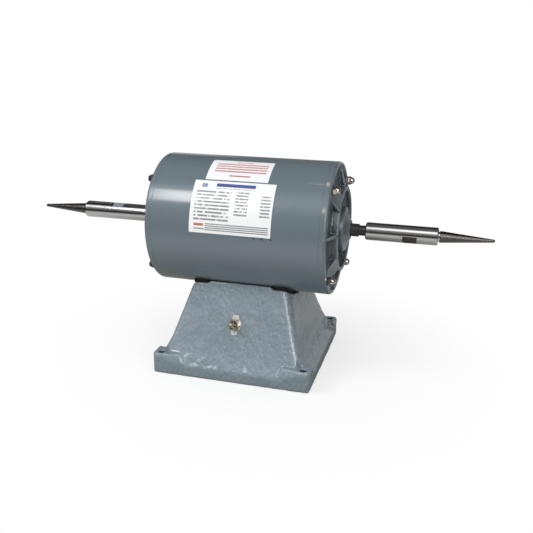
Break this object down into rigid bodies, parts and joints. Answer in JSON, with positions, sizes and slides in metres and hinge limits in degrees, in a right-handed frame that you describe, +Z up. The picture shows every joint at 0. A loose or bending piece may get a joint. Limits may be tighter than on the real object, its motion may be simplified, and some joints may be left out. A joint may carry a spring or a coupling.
{
  "type": "dental polishing lathe",
  "caption": "Bench polishing motor with a threaded taper spindle at each end, held on a tapered hollow pedestal with a toggle switch.",
  "frame": {"origin": "middle of the pedestal's underside, on the bench surface", "axes": "+X along the motor shaft towards the right-hand spindle seen from the front, -Y out of the front face with the toggle switch, +Z up"},
  "size_m": [0.5974, 0.1914, 0.2652],
  "materials": {
    "casting_enamel": "glossy blue-grey enamel over rough sand-cast iron",
    "shell_enamel": "smooth semi-gloss blue-grey enamel",
    "black_rubber": "matte",
    "black_nylon": "satin",
    "phenolic": "moulded, dull",
    "nickel": "bright nickel plate",
    "zinc_steel": "zinc plated",
    "black_steel": "black oxide, dull",
    "polished_steel": "ground and polished",
    "spring_steel": "plain",
    "bearing_steel": "ground",
    "lamination_steel": "stacked sheet edges",
    "copper_winding": "varnished copper wire",
    "cast_aluminium": "die cast",
    "brass": "plain",
    "plate_white": "white printed foil with plain ruled bars",
    "notice_white": "white printed foil with plain ruled bars",
    "capacitor_can": "moulded",
    "wire_insulation": "flexible",
    "tag_metal": "bright sheet"
  },
  "bodies": {
    "housing": {"acorn_nuts": "nickel", "bearing_outer_left": "bearing_steel", "bearing_outer_right": "bearing_steel", "bearing_shim": "spring_steel", "bottom_plate": "zinc_steel", "bottom_plate_screws": "zinc_steel", "capacitor_clamp": "zinc_steel", "capacitor_leads": "wire_insulation", "cord_bushing": "black_nylon", "cord_nut": "black_nylon", "end_bell_left": "shell_enamel", "end_bell_right": "shell_enamel", "lead_grommet": "black_rubber", "lock_washers": "spring_steel", "main_winding": "copper_winding", "motor_bolts": "zinc_steel", "motor_leads": "wire_insulation", "motor_shell": "shell_enamel", "motor_washers": "zinc_steel", "notice_plate": "notice_white", "pedestal": "casting_enamel", "rating_plate": "plate_white", "saddle_pad_left": "black_rubber", "saddle_pad_right": "black_rubber", "shell_rivets": "black_steel", "start_capacitor": "capacitor_can", "start_winding": "copper_winding", "stator_core": "lamination_steel", "supply_leads": "wire_insulation", "switch_board": "phenolic", "switch_contacts": "brass", "switch_tag": "tag_metal", "through_bolts": "black_steel", "toggle_body": "phenolic", "toggle_bushing": "nickel", "toggle_lock_washer": "spring_steel", "toggle_nut": "nickel", "toggle_terminals": "brass", "wave_washer": "spring_steel", "weld_nuts": "spring_steel"},
    "rotor": {"motor_shaft": "black_steel", "rotor_core": "lamination_steel", "rotor_end_ring_left": "cast_aluminium", "rotor_end_ring_right": "cast_aluminium", "bearing_inner_left": "bearing_steel", "bearing_inner_right": "bearing_steel", "bearing_spacer_left": "black_steel", "bearing_spacer_right": "black_steel", "governor_plate": "zinc_steel", "spindle_left": "polished_steel", "spindle_right": "polished_steel", "set_screws": "black_steel"},
    "balls_left": {"bearing_balls_left": "bearing_steel", "bearing_cage_left": "brass"},
    "balls_right": {"bearing_balls_right": "bearing_steel", "bearing_cage_right": "brass"},
    "lever": {"toggle_lever": "nickel"},
    "weight_front": {"governor_weight_front": "zinc_steel"},
    "weight_back": {"governor_weight_back": "zinc_steel"},
    "collar": {"governor_collar": "phenolic"}
  },
  "joints": [
    {"name": "rotor_spin", "type": "hinge", "parent": "housing", "child": "rotor", "pos_m": [0, 0, 0.1827], "axis": [1, 0, 0], "continuous": true},
    {"name": "balls_left_spin", "type": "hinge", "parent": "housing", "child": "balls_left", "pos_m": [0, 0, 0.1827], "axis": [1, 0, 0], "continuous": true},
    {"name": "balls_right_spin", "type": "hinge", "parent": "housing", "child": "balls_right", "pos_m": [0, 0, 0.1827], "axis": [1, 0, 0], "continuous": true},
    {"name": "lever_tilt", "type": "hinge", "parent": "housing", "child": "lever", "pos_m": [0, -0.07019, 0.06709], "axis": [-1, 0, 0], "range_deg": [-12.5, 12.5]},
    {"name": "weight_front_swing", "type": "hinge", "parent": "rotor", "child": "weight_front", "pos_m": [-0.072, -0.019, 0.1827], "axis": [0, 0, 1], "range_deg": [0, 25]},
    {"name": "weight_back_swing", "type": "hinge", "parent": "rotor", "child": "weight_back", "pos_m": [-0.072, 0.019, 0.1827], "axis": [0, 0, -1], "range_deg": [0, 25]},
    {"name": "collar_slide", "type": "slide", "parent": "rotor", "child": "collar", "axis": [-1, 0, 0], "range_m": [0, 0.00262], "stiffness_N_per_m": 60, "springref_m": -0.001}
  ],
  "couplings": [
    {"joint": "balls_left_spin", "follows": "rotor_spin", "ratio": 0.39123},
    {"joint": "balls_right_spin", "follows": "rotor_spin", "ratio": 0.39123},
    {"joint": "weight_front_swing", "follows": "collar_slide", "rad_per_m": 166.67},
    {"joint": "weight_back_swing", "follows": "collar_slide", "rad_per_m": 166.67}
  ]
}
